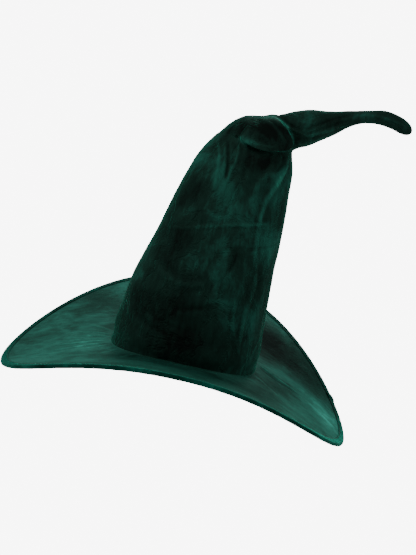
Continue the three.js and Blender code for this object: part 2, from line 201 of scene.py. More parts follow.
def velvet(name, stops, creased, sheen, sheen_tint, roughness, streak_scale=(1.0, 1.0, 0.3)):
    """Crushed velvet. stops are its colours, from pile leaning away and painted shade to pile
    leaning to the light and painted highlights.
    """
    made, tree = new_material(name)
    place = add(tree, "ShaderNodeTexCoord").outputs["Object"]
    # The attribute is the pile's lean with painted shade and painted highlights added to it.
    pile_and_shade = add(tree, "ShaderNodeAttribute", attribute_name="pile_and_shade").outputs["Fac"]
    patches = add(tree, "ShaderNodeTexNoise",
                  {"Vector": place, "Scale": per_metre(PATCH_MM), "Detail": 4.0,
                   "Roughness": 0.62, "Distortion": 0.7})
    combed = add(tree, "ShaderNodeMapping", {"Vector": place, "Scale": streak_scale})
    streaks = add(tree, "ShaderNodeTexNoise",
                  {"Vector": combed.outputs["Vector"], "Scale": per_metre(STREAK_MM),
                   "Detail": 5.0, "Roughness": 0.65, "Distortion": 0.4})
    marks = add(tree, "ShaderNodeMix",
                {"Factor": STREAK_SHARE, "A": patches.outputs["Fac"], "B": streaks.outputs["Fac"]})
    marked = add(tree, "ShaderNodeMath",
                 {0: marks.outputs["Result"], 1: MARK_STRENGTH, 2: pile_and_shade}, operation="MULTIPLY_ADD")
    pile_and_shade_tone = add(tree, "ShaderNodeMath", {0: marked.outputs["Value"], 1: MARK_MIDDLE},
                    operation="SUBTRACT")
    colour = ramp(tree, pile_and_shade_tone.outputs["Value"], stops)
    grain = add(tree, "ShaderNodeTexNoise",
                {"Vector": place, "Scale": per_metre(GRAIN_MM), "Detail": 2.0, "Roughness": 0.7})
    bent = add(tree, "ShaderNodeVectorMath",
               {0: patches.outputs["Color"], 1: (CREASE_BEND,) * 3, 2: combed.outputs["Vector"]},
               operation="MULTIPLY_ADD")
    facets = add(tree, "ShaderNodeTexVoronoi",
                 {"Vector": bent.outputs["Vector"], "Scale": per_metre(FACET_MM)},
                 feature="DISTANCE_TO_EDGE")
    pressed = add(tree, "ShaderNodeMapRange",
                  {"Value": facets.outputs["Distance"], "From Max": 0.09},
                  interpolation_type="SMOOTHSTEP")
    creases = add(tree, "ShaderNodeBump",
                  {"Strength": creased, "Distance": 0.0015, "Height": pressed.outputs["Result"]})
    nap = add(tree, "ShaderNodeBump",
              {"Strength": 0.4, "Distance": 0.002, "Height": marks.outputs["Result"],
               "Normal": creases.outputs["Normal"]})
    pile = add(tree, "ShaderNodeBump",
               {"Strength": 0.35, "Distance": 0.0006, "Height": grain.outputs["Fac"],
                "Normal": nap.outputs["Normal"]})
    dullness = add(tree, "ShaderNodeMapRange",
                   {"Value": pile_and_shade_tone.outputs["Value"], "To Min": roughness + 0.08,
                    "To Max": roughness - 0.1})
    shader = add(tree, "ShaderNodeBsdfPrincipled",
                 {"Base Color": colour.outputs["Color"], "Roughness": dullness.outputs["Result"],
                  "Normal": pile.outputs["Normal"], "Sheen Weight": sheen,
                  "Sheen Roughness": 0.3, "Sheen Tint": sheen_tint,
                  "Specular IOR Level": 0.01})
    return finish_material(made, shader)


crown_velvet = velvet(
    "crushed_velvet_crown",
    [(0.1, "#080d0b"), (0.42, "#10231d"), (0.72, "#17443a"),
     (1.0, "#246f5d")],
    creased=0.55,
    sheen=0.7,
    sheen_tint=linear("#1f9c80"),
    roughness=0.7,
)
# The brim is the crown's velvet with lighter colours: painted light on the brim, which faces up to
# the lights.
brim_velvet = velvet(
    "crushed_velvet_brim",
    [(0.0, "#0a1411"), (0.4, "#193830"), (0.75, "#255c50"),
     (1.0, "#348878")],
    creased=0.2,
    sheen=0.14,
    sheen_tint=linear("#22ac90"),
    roughness=0.6,
    streak_scale=(0.3, 1.0, 1.0),
)
binding_velvet = velvet(
    "velvet_binding_strip",
    [(0.1, "#010d0a"), (0.55, "#032b23"), (1.0, "#0a5547")],
    creased=0.1,
    sheen=0.8,
    sheen_tint=linear("#2fae92"),
    roughness=0.7,
)
print("velvets:", crown_velvet.name, brim_velvet.name, binding_velvet.name)

# %% [markdown]
# ## Cloth made from rings
# A cone, a brim and a band are all the same kind of shape: a ring of points that is drawn out
# into the next ring. A circle is made once, and its edge loop is extruded from ring to ring. Each
# new ring is then moved to where the cloth lies. This keeps the rows of faces along the cloth's
# own folds, which a sculpted ball would not.


# %% Draw rings out into cloth
def skin_of_rings(rings):
    """A bmesh skin through rings of equally many points, in order."""
    bm = bmesh.new()
    bmesh.ops.create_circle(bm, cap_ends=False, radius=1.0, segments=len(rings[0]))
    bm.verts.ensure_lookup_table()
    loop = ring_order(bm)
    for vert, point in zip(loop, rings[0]):
        vert.co = point
    edges = bm.edges[:]
    for ring in rings[1:]:
        made = bmesh.ops.extrude_edge_only(bm, edges=edges)["geom"]
        new = {g for g in made if isinstance(g, bmesh.types.BMVert)}
        step = [next(e.other_vert(v) for e in v.link_edges if e.other_vert(v) in new) for v in loop]
        for vert, point in zip(step, ring):
            vert.co = point
        edges = [g for g in made if isinstance(g, bmesh.types.BMEdge)
                 and g.verts[0] in new and g.verts[1] in new]
        loop = step
    return bm


def ring_order(bm):
    """The verts of a lone circle, in order round it."""
    first = bm.verts[0]
    order, before = [first], None
    while len(order) < len(bm.verts):
        here = order[-1]
        onward = [e.other_vert(here) for e in here.link_edges if e.other_vert(here) is not before]
        before = here
        order.append(onward[0])
    return order


def object_of(bm, name, material, smooth=True):
    """Turns a bmesh into an object at the origin."""
    bmesh.ops.recalc_face_normals(bm, faces=bm.faces)
    for face in bm.faces:
        face.smooth = smooth
    mesh = bpy.data.meshes.new(name)
    bm.to_mesh(mesh)
    bm.free()
    made = bpy.data.objects.new(name, mesh)
    made.data.materials.append(material)
    bpy.context.scene.collection.objects.link(made)
    return made


def thicken(piece, thickness):
    """Gives a skin its cloth's thickness, inwards."""
    wall = piece.modifiers.new("cloth_thickness", "SOLIDIFY")
    wall.thickness = thickness
    wall.offset = -1.0
    return wall


print("ring tools are ready")

# %% [markdown]
# ## The crown and tip, as one cone
# On the real hat the cone is cut in one piece, and the fold and the tip are only bends in it. So
# it is drawn as one skin through sections, each given by its front point, its back point and its
# half depth, in millimetres of height and length in the hat's middle plane. Up to the fold the
# sections are nearly level. There they fan round the back of the crown, and then follow the tip.

# %% Sections of the cone
SECTIONS = [
    # front x, front z, back x, back z, half depth
    (-101.0, -10.0, 102.5, -10.0, 88.0),
    (-99.0, 14.0, 102.5, 16.0, 88.5),
    (-96.5, 44.0, 101.5, 50.0, 87.0),
    (-91.0, 86.0, 98.5, 96.0, 82.0),
    (-81.0, 124.0, 97.0, 140.0, 75.0),
    (-70.0, 160.0, 96.5, 180.0, 68.0),
    (-56.0, 212.0, 95.0, 214.0, 60.0),
    (-43.5, 254.0, 92.0, 248.0, 52.0),
    (-32.0, 279.0, 90.5, 270.0, 47.0),
    (-16.0, 305.0, 87.5, 286.0, 42.0),
    (6.0, 331.0, 85.0, 296.0, 36.0),
    (30.0, 338.5, 84.0, 301.0, 30.0),
    (53.0, 343.0, 86.0, 304.0, 25.0),
    (75.0, 353.0, 92.5, 308.5, 22.5),
    (95.0, 360.0, 104.0, 314.5, 20.0),
    (113.0, 364.0, 119.0, 325.0, 17.0),
    (129.0, 366.5, 135.0, 336.5, 13.5),
    (144.0, 370.0, 149.0, 348.0, 11.0),
    (159.5, 373.5, 163.5, 356.5, 9.5),
    (175.0, 377.0, 178.5, 360.0, 9.5),
    (190.0, 380.0, 194.0, 359.8, 10.0),
    (206.0, 378.5, 205.5, 358.0, 9.5),
    (219.0, 374.5, 214.0, 355.5, 8.5),
    (228.0, 368.0, 221.5, 354.5, 7.0),
    (231.0, 362.0, 227.0, 355.5, 4.0),
]
AROUND_CONE = 208
SQUARENESS = 2.25  # 2 is an oval; above it, the front and back are a little flatter
BASE_LIFT = 6.5
BASE_LIFT_HEIGHT = 80.0
FOLD_STARTS, TIP_STARTS = 7.5, 14.0  # places counted in sections
CROWN_ROW, FOLD_ROW, TIP_ROW = 3.0, 1.8, 1.7  # heights of the rows of faces


def between(u):
    """The section at a place counted in sections, on a smooth curve through them all."""
    table = np.array(SECTIONS)
    i = min(int(u), len(table) - 2)
    f = u - i
    a, b, c, d = (table[min(max(k, 0), len(table) - 1)] for k in (i - 1, i, i + 1, i + 2))
    return 0.5 * (2 * b + (c - a) * f + (2 * a - 5 * b + 4 * c - d) * f**2
                  + (3 * b - a - 3 * c + d) * f**3)


def row_height(u):
    """How far apart the rows of faces are: closest where the cloth is folded."""
    if u < FOLD_STARTS:
        return CROWN_ROW
    return FOLD_ROW if u < TIP_STARTS else TIP_ROW


def ring_of_section(u):
    """The points round the cone at a place, from the front round by +Y."""
    front_x, front_z, back_x, back_z, depth = between(u)
    theta = np.arange(AROUND_CONE) * 2 * math.pi / AROUND_CONE
    c, s = np.cos(theta), np.sin(theta)
    squareness = 2 + (SQUARENESS - 2) * max(0.0, 1 - u / 8)
    along = np.sign(c) * np.abs(c) ** (2 / squareness)
    side = np.sign(s) * np.abs(s) ** (2 / squareness)
    x = (front_x + back_x) / 2 + (front_x - back_x) / 2 * along
    z = (front_z + back_z) / 2 + (front_z - back_z) / 2 * along
    fade = np.clip(1 - (z - SECTIONS[0][1]) / BASE_LIFT_HEIGHT, 0, 1) ** 2
    z = z + BASE_LIFT * (1 - np.cos(2 * theta)) * fade
    return np.stack([x, depth * side, z], axis=1)


def cone_places():
    """Places along the cone, close together where the rows of faces are short."""
    places = [0.0]
    while places[-1] < len(SECTIONS) - 1:
        here = places[-1]
        a, b = between(here), between(min(here + 0.05, len(SECTIONS) - 1))
        speed = max(math.hypot(b[0] - a[0], b[1] - a[1]), math.hypot(b[2] - a[2], b[3] - a[3]))
        places.append(here + 0.05 * row_height(here) / max(speed, 0.05))
    return places[:-1] + [float(len(SECTIONS) - 1)]


places = cone_places()
rings = [in_metres(ring_of_section(u)) for u in places]
tip_middle = rings[-1].mean(axis=0)
end_bulge = np.array([0.0015, 0, -0.0005])
closing = [tip_middle + (rings[-1] - tip_middle) * share + end_bulge * (1 - share)
           for share in (0.7, 0.35, 0.08)]
cone = object_of(skin_of_rings(rings + closing), "cone", crown_velvet)
print("rows in the cone:", len(rings), "faces:", len(cone.data.polygons))

# %% [markdown]
# ## Folds
# Soft cloth over a wire and a stiff band doesn't lie smooth. The folds are drawn as a tailor
# would chalk them: a line on the side of the crown, how wide it is and how far it stands out. A
# fold stands up along its line and sinks a little beside it, and dies away at its ends.


# %% Chalk lines
def distance_to(line, points):
    """Each point's distance from a line of points, and how far along the line that is, 0 to 1."""
    line = in_metres(line)
    lengths = np.linalg.norm(np.diff(line, axis=0), axis=1)
    starts = np.concatenate([[0], np.cumsum(lengths)])
    best = np.full(len(points), 1e9)
    along = np.zeros(len(points))
    for a, b, length, start in zip(line[:-1], line[1:], lengths, starts):
        t = np.clip((points - a) @ (b - a) / length**2, 0, 1)
        gap = np.linalg.norm(points - (a + t[:, None] * (b - a)), axis=1)
        nearer = gap < best
        best[nearer] = gap[nearer]
        along[nearer] = ((start + t * length) / starts[-1])[nearer]
    return best, along


def smooth(low, high, x):
    """0 below low and 1 above high, with a soft start and end."""
    t = np.clip((x - low) / (high - low), 0, 1)
    return t * t * (3 - 2 * t)


def smooth_line(points):
    """A chalk line with soft corners, through a few points."""
    points = np.array(points, float)
    if len(points) < 3:
        return points
    out = []
    for i in range(len(points) - 1):
        a, b, c, d = (points[min(max(k, 0), len(points) - 1)] for k in (i - 1, i, i + 1, i + 2))
        for f in np.linspace(0, 1, 6, endpoint=False):
            out.append(0.5 * (2 * b + (c - a) * f + (2 * a - 5 * b + 4 * c - d) * f**2
                              + (3 * b - a - 3 * c + d) * f**3))
    return np.array(out + [points[-1]])


def fold(points, line, width, height, ends=0.15):
    """How far out each side-view point moves for one fold, in metres."""
    gap, along = distance_to(smooth_line(line), points)
    w = width * MM
    shape = np.exp(-((gap / w) ** 2)) - 0.45 * np.exp(-((gap / (2.3 * w)) ** 2))
    dying = smooth(0, ends, along) * smooth(0, ends, 1 - along)
    return height * MM * shape * dying


def read_mesh(piece):
    """A mesh's points and normals as arrays."""
    mesh = piece.data
    points = np.empty(len(mesh.vertices) * 3)
    mesh.vertices.foreach_get("co", points)
    normals = np.empty(len(mesh.vertices) * 3)
    mesh.vertices.foreach_get("normal", normals)
    return points.reshape(-1, 3), normals.reshape(-1, 3)


def write_mesh(piece, points):
    """Moves a mesh's points."""
    piece.data.vertices.foreach_set("co", points.ravel())
    piece.data.update()


def rough(points, size_mm, seed):
    """A soft random value from -1 to 1 at each point, the same on every run."""
    shift = Vector((seed * 7.1, seed * 3.7, seed * 5.3))
    return np.array([noise.noise(Vector(p) * per_metre(size_mm) + shift) for p in points])


def set_pile_and_shade(piece, pile_and_shade):
    """Stores how the pile leans at each point, with painted shade and painted highlights added in,
    which the velvet's colours read.
    """
    layer = piece.data.attributes.new("pile_and_shade", "FLOAT", "POINT")
    layer.data.foreach_set("value", np.clip(pile_and_shade, 0, 1).astype(np.float32))


def pile_and_shade_patches(points, patches):
    """How much listed patches change the colour, some turned pile, others painted shade and painted
    highlights: (across, up, half width, half height, change).
    """
    tone_shift = np.zeros(len(points))
    # turned is how far a patch changes the colour: turned pile in some, painted shade and painted
    # highlights in others.
    for x, z, wide, tall, turned in patches:
        gap = (points / MM - (x, z)) / (wide, tall)
        tone_shift += turned * np.exp(-(gap**2).sum(axis=1))
    return tone_shift


print("fold tools are ready")

# %% [markdown]
# The fold at the top comes first, because it is the largest. The cone bends over so sharply that
# its wall laps over the root of the tip in a rounded flap. Inside the flap's edge the cloth moves
# out sideways and a little over its own edge, and just outside the edge it sinks into a crease.

# %% The lap over the root of the tip
LAP_EDGE = [(30, 346), (44, 344), (58, 340), (70, 333), (78, 324), (81, 314), (77, 306.5),
            (66, 303.5), (52, 302.5), (37, 303.5), (22, 306), (8, 309)]
LAP_INSIDE = (40, 324)
LAP_DEPTH, LAP_OVERHANG, LAP_CREASE = 9.5, 4.5, 3.6
FAR_LAP = 0.6  # how much of its depth the lap has on the far side

points, normals = read_mesh(cone)
side_view = points[:, [0, 2]]
edge = smooth_line(LAP_EDGE)
gap, along = distance_to(edge, side_view)


def inside_lap(side_points):
    """Whether each side-view point is inside the lap, by the nearest piece of its edge."""
    line = in_metres(edge)
    starts, steps = line[:-1], np.diff(line, axis=0)
    middles = starts + steps / 2
    nearest = np.argmin(
        np.linalg.norm(side_points[:, None, :] - middles[None, :, :], axis=2), axis=1)
    offset = side_points - starts[nearest]
    turn_way = steps[nearest, 0] * offset[:, 1] - steps[nearest, 1] * offset[:, 0]
    return turn_way < 0


deep = np.where(inside_lap(side_view), gap, -gap) / MM
facing = np.clip(np.abs(normals[:, 1]) * 1.6, 0, 1)
near_lap = smooth(285, 303, side_view[:, 1] / MM) * smooth(-30, 34, side_view[:, 0] / MM)
near_lap *= 1 - smooth(84, 100, side_view[:, 0] / MM)
fading = smooth(0, 0.12, along) * smooth(0, 0.1, 1 - along)
lapping = smooth(-0.8, 3.5, deep) * near_lap * facing
lapping *= np.where(points[:, 1] > 0, FAR_LAP, 1)
outward = np.sign(points[:, 1])
away = side_view - in_metres(LAP_INSIDE)
away /= np.linalg.norm(away, axis=1)[:, None] + 1e-9
hang = smooth(-0.8, 3.0, deep) * (1 - smooth(7, 26, deep)) * near_lap * facing * fading
crease = np.exp(-((np.clip(-deep, 0, None) / 5) ** 2)) * (deep < 0) * near_lap * facing * fading
crease *= smooth(5, 36, side_view[:, 0] / MM)
# A painted highlight along the lap's edge, added to the pile's colour below.
painted_lap_highlight = np.exp(-((deep / 2.4) ** 2)) * near_lap * facing * fading
moved = points.copy()
moved[:, 1] += outward * MM * (LAP_DEPTH * lapping - LAP_CREASE * crease)
moved[:, 0] += LAP_OVERHANG * MM * hang * away[:, 0]
moved[:, 2] += LAP_OVERHANG * MM * hang * away[:, 1]
write_mesh(cone, moved)
print("the lap stands out by up to", round(float(np.abs(moved - points).max()) * 1000, 1), "mm")

# %% [markdown]
# The smaller folds follow. A stiff band lines the crown to about half its height, and its top
# edge shows through as a line across. Long folds run down from the lap and die out in the band.
# The far side gets the same folds, shifted, so that the two sides don't match like a mould.

# %% Folds down the crown and along the tip
NEAR_FOLDS = [
    # chalk line, width, height: below 0 is a crease that sinks
    ([(-64, 172), (-32, 181), (9, 195), (63, 206), (84, 209)], 2.0, 1.7),
    ([(30, 170), (63, 174), (97, 182)], 2.4, -1.5),
    ([(80, 292), (78, 276), (73, 261), (63, 233), (61, 196)], 3.0, 3.8),
    ([(61, 206), (64, 175), (69, 149), (74, 124), (71, 96), (70, 62), (73, 26)], 2.8, 2.6),
    ([(50, 110), (55, 84), (60, 62), (76, 24)], 2.6, 1.8),
    ([(-16, 301), (-8, 277), (-6, 252), (-5, 234)], 2.8, 2.2),
    ([(-3, 303), (4, 279), (6, 252)], 2.4, -3.4),
    ([(9, 306), (15, 291), (11, 267), (8, 250)], 2.4, 2.4),
    ([(-30, 292), (-33, 268), (-46, 238)], 5.0, 2.4),
    ([(26, 302), (30, 284), (26, 258)], 5.0, -1.6),
    ([(72, 300), (74, 288), (68, 274)], 2.8, -3.0),
    ([(56, 300), (60, 286), (52, 262), (44, 244)], 4.5, 2.2),
    ([(42, 167), (40, 152), (36, 138)], 2.8, -2.2),
    ([(-30, 76), (10, 86), (38, 96)], 3.0, -1.4),
    ([(-60, 118), (-22, 112), (14, 118)], 4.5, 1.2),
    ([(-66, 60), (-30, 48), (16, 46)], 4.0, 1.2),
    ([(-88, 60), (-60, 42), (-20, 36)], 5.0, 1.2),
    ([(84, 60), (86, 110), (84, 160), (86, 200)], 5.0, 1.6),
    ([(-72, 140), (-58, 172), (-52, 205)], 5.0, -1.4),
]
LAP_FOLDS = [
    ([(9, 334), (11, 316), (6, 306)], 3.0, -1.0),
    ([(16, 338), (20, 322), (14, 309)], 3.0, 1.8),
    ([(25, 341), (45, 337), (61, 327), (74, 312)], 2.6, 2.4),
    ([(34, 335), (52, 326), (62, 314)], 3.0, -1.6),
    ([(20, 309), (40, 308), (62, 308)], 2.6, 1.6),
    ([(30, 322), (44, 318), (54, 310)], 3.0, 1.2),
]
TIP_FOLDS = [
    ([(32, 345), (56, 339), (74, 333), (94, 329)], 2.2, 2.4),
    ([(92, 326), (112, 334), (132, 346), (152, 358)], 2.4, 2.2),
    ([(88, 333), (108, 345), (130, 358), (152, 367)], 2.6, -1.8),
    ([(150, 366), (175, 371), (200, 371), (220, 366)], 2.4, 1.3),
    ([(84, 316), (104, 322), (122, 334)], 3.0, 1.5),
    ([(168, 360), (186, 362), (206, 361)], 2.0, 1.0),
]
# Patches of turned pile, with painted light among them: painted shadow under the lap and at the
# root of the tip, and painted highlights between the folds and on the lap's lower edge.
PILE_AND_SHADE_PATCHES = [
    # across, up, half width, half height, and how far the colour is changed
    (-36, 233, 22, 20, -0.26), (42, 281, 30, 15, -0.30), (-35, 166, 34, 15, -0.20),
    (-54, 68, 38, 42, -0.24), (4, 37, 46, 26, -0.26), (42, 328, 24, 13, -0.26),
    (10, 86, 28, 8, -0.14), (41, 156, 9, 15, -0.20), (130, 352, 16, 12, -0.22),
    (27, 229, 30, 20, 0.14), (26, 146, 38, 28, 0.06), (78, 178, 16, 36, 0.18),
    (48, 63, 22, 44, 0.14), (85, 62, 12, 44, 0.20), (-4, 262, 9, 26, 0.08),
    (17, 308, 18, 6, 0.28), (74, 272, 10, 14, 0.26),
    (-16, 152, 26, 20, 0.08), (108, 340, 22, 7, 0.06), (190, 366, 26, 8, 0.16),
]
FAR_SHIFT = (6.0, -9.0)  # how far the far side's folds are from the near side's, across and up

points, normals = read_mesh(cone)
side_view = points[:, [0, 2]]
near = np.clip(-normals[:, 1] * 1.5, 0, 1)
far = np.clip(normals[:, 1] * 1.5, 0, 1)
push = np.zeros(len(points))
for line, width, height in NEAR_FOLDS + LAP_FOLDS + TIP_FOLDS:
    push += near * fold(side_view, line, width, height)
    push += far * fold(side_view + in_metres(FAR_SHIFT), line, width * 1.1, height)
height_up = points[:, 2] / MM
soft_part = smooth(185, 225, height_up - 0.2 * points[:, 0] / MM)
small_part = 1 - smooth(90, 160, points[:, 0] / MM)
push += MM * rough(points, 62, 1) * (0.8 + 1.8 * soft_part * small_part)
push += MM * rough(points, 21, 2) * (0.3 + 0.7 * soft_part * small_part)
push += MM * rough(points, 9, 3) * 0.14
# Painted shade and highlight: the colour darkens in the folds' creases and lightens on their
# ridges, by the folds' height.
pile_and_shade = 0.41 + 0.08 * push / MM
# Turned pile with painted shade and painted highlights, from the listed patches, on both sides.
pile_and_shade += near * pile_and_shade_patches(side_view, PILE_AND_SHADE_PATCHES)
pile_and_shade += far * pile_and_shade_patches(side_view + in_metres(FAR_SHIFT), PILE_AND_SHADE_PATCHES)
# The random term is turned pile; the lap's term is a painted highlight along its edge.
pile_and_shade += 0.16 * rough(points, 55, 4) + 0.42 * painted_lap_highlight
set_pile_and_shade(cone, pile_and_shade)
base_seam = np.exp(-(((height_up - BASE_LIFT) / 9) ** 2))
push -= MM * 1.0 * base_seam
push += MM * 1.6 * np.exp(-(((height_up - 24) / 14) ** 2))
push = np.maximum(push, -3.4 * MM)
write_mesh(cone, points + normals * push[:, None])
print("folds and softness move the cloth by", round(float(push.min()) / MM, 1), "to",
      round(float(push.max()) / MM, 1), "mm")

# %% [markdown]
# ## Two pieces, and what is inside them
# The frame bends the tip at the fold and again halfway along, and one piece can bend across only
# one joint. So the cone is divided at a row between the two, where both pieces follow the same
# body. The rows were drawn in order, so a point's row is its number over the points in a row.
# The stiffener in the crown and the stuffing in the tip are the same rows, moved inwards, so they
# fit inside every fold.

# %% Divide the cone
CLOTH = 1.2  # the velvet's thickness in millimetres, with its backing
STIFF_FROM, STIFF_TO = 0.3, 5.6  # places counted in sections, as are the next ones
STUFFED_FROM, DIVIDE_AT, STUFFED_TO = 13.7, 16.4, 23.6


def row_of(place):
    """The first row at or past a place."""
    return next(i for i, u in enumerate(places) if u >= place)


def rows_of(piece, name, material, low, high, inwards=0.0, filled=False):
    """A copy of some of the cone's rows, moved inwards by some millimetres, open or filled."""
    bm = bmesh.new()
    bm.from_mesh(piece.data)
    bm.verts.ensure_lookup_table()
    doomed = []
    for face in bm.faces:
        first_row = min(v.index for v in face.verts) // AROUND_CONE
        if not low <= first_row < high:
            doomed.append(face)
    bm.normal_update()
    moves = [(v, v.normal * inwards * MM) for v in bm.verts]
    for v, step in moves:
        v.co -= step
    bmesh.ops.delete(bm, geom=doomed, context="FACES")
    open_edges = [e for e in bm.edges if e.is_boundary]
    for cloth_edge in open_edges:
        cloth_edge.smooth = False
    if filled:
        bmesh.ops.holes_fill(bm, edges=open_edges, sides=0)
    return object_of(bm, name, material)


divide_row, last_row = row_of(DIVIDE_AT), len(places) + len(closing)
crown_skin = rows_of(cone, "crown_and_fold_cloth", crown_velvet, 0, divide_row)
tip_skin = rows_of(cone, "tip_cloth", crown_velvet, divide_row, last_row)
for skin in (crown_skin, tip_skin):
    thicken(skin, CLOTH * MM)
print("crown faces:", len(crown_skin.data.polygons), "tip faces:", len(tip_skin.data.polygons))

# %% [markdown]
# ## The brim
# The brim is a flat ring of stiffened velvet with a wire in its edge, bent down at the front and
# back and up at the sides. Its inner edge is sewn to the crown's base, which rises a little at
# the sides of the head. Between the two edges the cloth follows a curve that bends more near
# the wire. The top and underside are two skins over the stiffener, and only the top creases.

# %% The brim's curved surface
BRIM = {"length": 241.0, "width": 236.0, "side_height": 39.5, "droop": 105.0, "back_droop": 5.0,
        "droop_power": 2.1, "rise_power": 1.2}
CROWN_BASE = (102.0, 88.0)
BRIM_AROUND = 400
BRIM_ROWS = 84
BRIM_SKIN = 1.0
BRIM_TOP_HEIGHT = 2.1
TOP_SPAN = (-0.025, 0.993)  # from just inside the crown to under the binding
UNDER_SPAN = (-0.06, 0.993)  # from the sweatband, which covers the seam


def brim_edge(theta):
    """The brim's edge at angles from the front, in millimetres."""
    c, s = np.cos(theta), np.sin(theta)
    droop = (BRIM["droop"] - BRIM["back_droop"] * c) * np.abs(c) ** BRIM["droop_power"]
    return np.stack([-BRIM["length"] * c, BRIM["width"] * s, BRIM["side_height"] - droop], axis=-1)


def brim_seam(theta):
    """Where the brim meets the crown, in millimetres."""
    c, s = np.cos(theta), np.sin(theta)
    rise = -7.0 + BASE_LIFT * (1 - np.cos(2 * theta))
    return np.stack([-CROWN_BASE[0] * c, CROWN_BASE[1] * s, rise], axis=-1)


def brim_place(share, theta):
    """The brim's middle surface, from share 0 at the crown to 1 at the edge."""
    inner, outer = brim_seam(theta), brim_edge(theta)
    share = np.asarray(share)[..., None]
    out = inner + (outer - inner) * share
    rise = np.clip(share[..., 0], 0, None) ** BRIM["rise_power"]
    out[..., 2] = inner[..., 2] + (outer[..., 2] - inner[..., 2]) * rise
    return out


brim_theta = np.arange(BRIM_AROUND) * 2 * math.pi / BRIM_AROUND
print("brim, edge to edge:", 2 * BRIM["length"], "by", 2 * BRIM["width"], "mm")

# %% [markdown]
# Where the brim is bent hardest, in front of and behind the crown, the velvet creases. In front
# it puckers in fine folds that fan out from the seam. Behind, one sharp crease runs out from
# the corner of the crown, and the brim turns down along it.

# %% Creases in the brim
BRIM_CREASES = [
    # chalk line seen from above (x, y), width, height: below 0 is a crease that sinks
    ([(103, 28), (114, 18), (131, 11), (149, 10), (174, 13)], 2.4, 3.4),
    ([(104, 16), (118, 5), (134, 1), (152, 2)], 2.8, -2.6),
    ([(101, -30), (118, -46), (140, -66)], 3.0, 1.6),
    ([(174, 13), (204, 0), (228, -14)], 5.0, 1.2),
    ([(-100, -18), (-122, -22), (-152, -22), (-180, -20)], 2.2, 2.4),
    ([(-100, -10), (-124, -9), (-150, -6), (-178, 0)], 1.9, 1.7),
    ([(-100, -1), (-124, 6), (-150, 14)], 2.0, 1.8),
    ([(-101, 8), (-122, 20), (-144, 32)], 2.0, 1.4),
    ([(-98, -27), (-120, -36), (-148, -44), (-182, -50)], 2.4, 2.2),
    ([(-96, -36), (-116, -50), (-138, -60)], 2.0, 1.5),
    ([(-90, -46), (-108, -66), (-126, -78)], 2.2, 1.8),
    ([(-84, -56), (-96, -76), (-108, -92)], 2.2, 1.2),
    ([(-100, 22), (-122, 44), (-140, 60)], 3.0, 1.2),
    ([(-150, -62), (-178, -64), (-204, -60)], 3.0, 1.2),
    ([(-60, -76), (-70, -98), (-76, -120)], 4.0, 1.0),
    ([(40, -84), (56, -116), (66, -146)], 6.0, 0.9),
]
# Painted light on the brim's top: painted shadow on the near side under the crown, painted shade on
# the far side and below the back crease, and painted highlights along the back's middle and on the
# front.
BRIM_SHADE_AND_HIGHLIGHTS = [
    # across, sideways, half width, half height, and how far the colour is changed
    (-30, -106, 66, 34, -0.55), (34, -126, 52, 42, -0.42), (-10, -180, 90, 40, -0.2),
    (106, -100, 46, 46, -0.35), (150, 112, 56, 40, -0.42), (110, 120, 36, 50, -0.35),
    (196, 96, 26, 36, -0.25), (-138, 140, 44, 40, -0.12), (-100, 100, 26, 40, -0.1),
    (150, 38, 36, 18, 0.22), (196, 24, 34, 24, 0.26), (222, -16, 24, 46, 0.26),
    (136, -24, 26, 24, -0.22), (-124, -20, 22, 40, 0.14), (-168, -60, 40, 40, 0.1),
]


def brim_skin(name, height, span, above_side, material):
    """One face of the brim: its rings, its creases, and its softness."""
    rings = []
    for share in np.linspace(*span, BRIM_ROWS):
        ring = brim_place(np.full(BRIM_AROUND, share), brim_theta)
        ring[:, 2] += height
        rings.append(in_metres(ring))
    made = object_of(skin_of_rings(rings), name, material)
    points, normals = read_mesh(made)
    from_above = points[:, [0, 1]]
    push = np.zeros(len(points))
    if above_side:
        for line, width, tall in BRIM_CREASES:
            push += fold(from_above, line, width, tall, ends=0.25)
    push += MM * (0.5 + 0.6 * rough(points, 70, 5)) * (0.7 if above_side else 0.4)
    push += MM * 0.35 * rough(points, 24, 6)
    push = np.maximum(push, -1.1 * MM)
    radius = np.linalg.norm(from_above, axis=1)
    edge_distance = MM * math.hypot(BRIM["length"], BRIM["width"]) / math.sqrt(2) - radius
    calm = smooth(0.004, 0.03, edge_distance)
    points[:, 2] += (1 if above_side else -1) * push * calm
    write_mesh(made, points)
    # Painted shade and highlight on the top: the colour darkens in the creases and lightens on
    # their ridges, by their height. The noise is random tone.
    pile_and_shade = 0.47 + 0.14 * push / MM + 0.14 * rough(points, 60, 8)
    # The top's painted shadow, painted shade and painted highlights.
    if above_side:
        pile_and_shade += pile_and_shade_patches(from_above, BRIM_SHADE_AND_HIGHLIGHTS)
    set_pile_and_shade(made, pile_and_shade)
    return made


brim_top = brim_skin("brim_top_skin", BRIM_TOP_HEIGHT, TOP_SPAN, True, brim_velvet)
brim_under = brim_skin("brim_under_skin", -BRIM_TOP_HEIGHT, UNDER_SPAN, False, brim_velvet)
for skin, up in ((brim_top, 1), (brim_under, -1)):
    _, normals = read_mesh(skin)
    if normals[:, 2].mean() * up < 0:
        skin.data.flip_normals()
    thicken(skin, BRIM_SKIN * MM)
print("brim faces:", len(brim_top.data.polygons), "each side")

# %% [markdown]
# ## The binding
# The brim's raw edge and its wire are covered by a folded strip of the same velvet, cut on the
# bias so that it curves. Its profile is a flattened loop, full over the wire and thin at its
# turned-in edges. It is drawn round the edge as rings, one for each point of the profile. Where
# its two ends lap, at the back, the strip is thicker for a short way and ends in a step.

